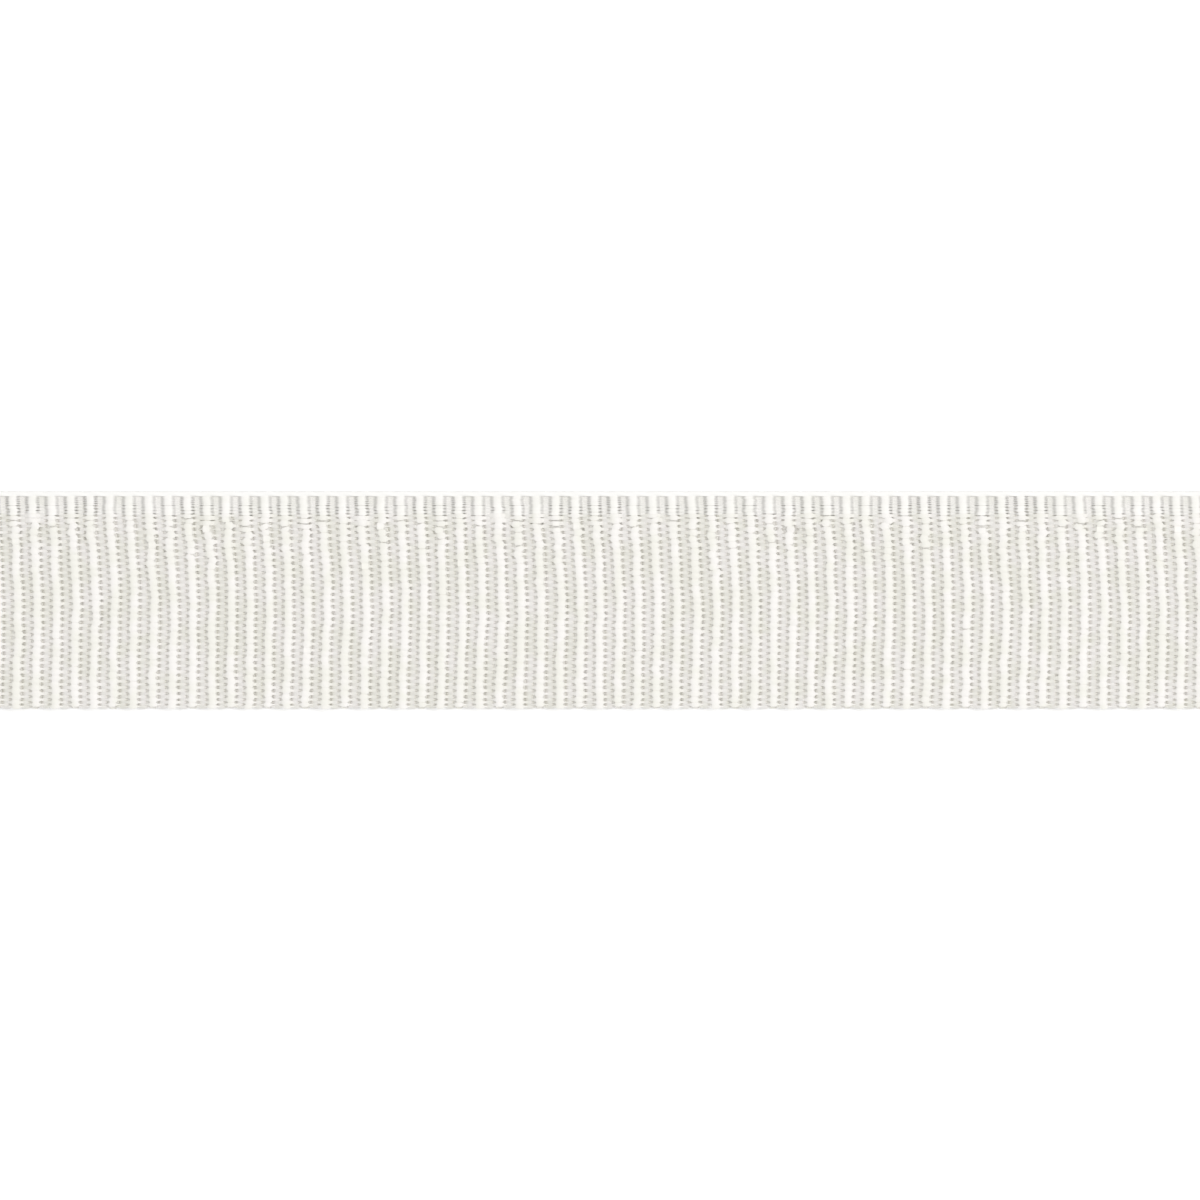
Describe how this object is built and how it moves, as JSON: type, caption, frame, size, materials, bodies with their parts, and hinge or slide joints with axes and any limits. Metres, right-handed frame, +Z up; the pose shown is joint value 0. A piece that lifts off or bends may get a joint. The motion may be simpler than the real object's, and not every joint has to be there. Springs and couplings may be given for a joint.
{
  "type": "faille ribbon",
  "caption": "Cut length of ivory faille ribbon lying flat: a warp-faced woven strip with raised cross ribs on both faces, woven selvedges and plain cut ends.",
  "frame": {"origin": "on the surface that the ribbon lies on, under the middle of its box", "axes": "+X along the length, +Y across the width towards the smooth selvedge, +Z up, out of the face"},
  "size_m": [0.0994, 0.016, 0.0011],
  "materials": {
    "ivory_yarn": "soft silky matt, woven in raised cross ribs"
  },
  "bodies": {
    "root": {"ribbon": "ivory_yarn"}
  },
  "joints": []
}
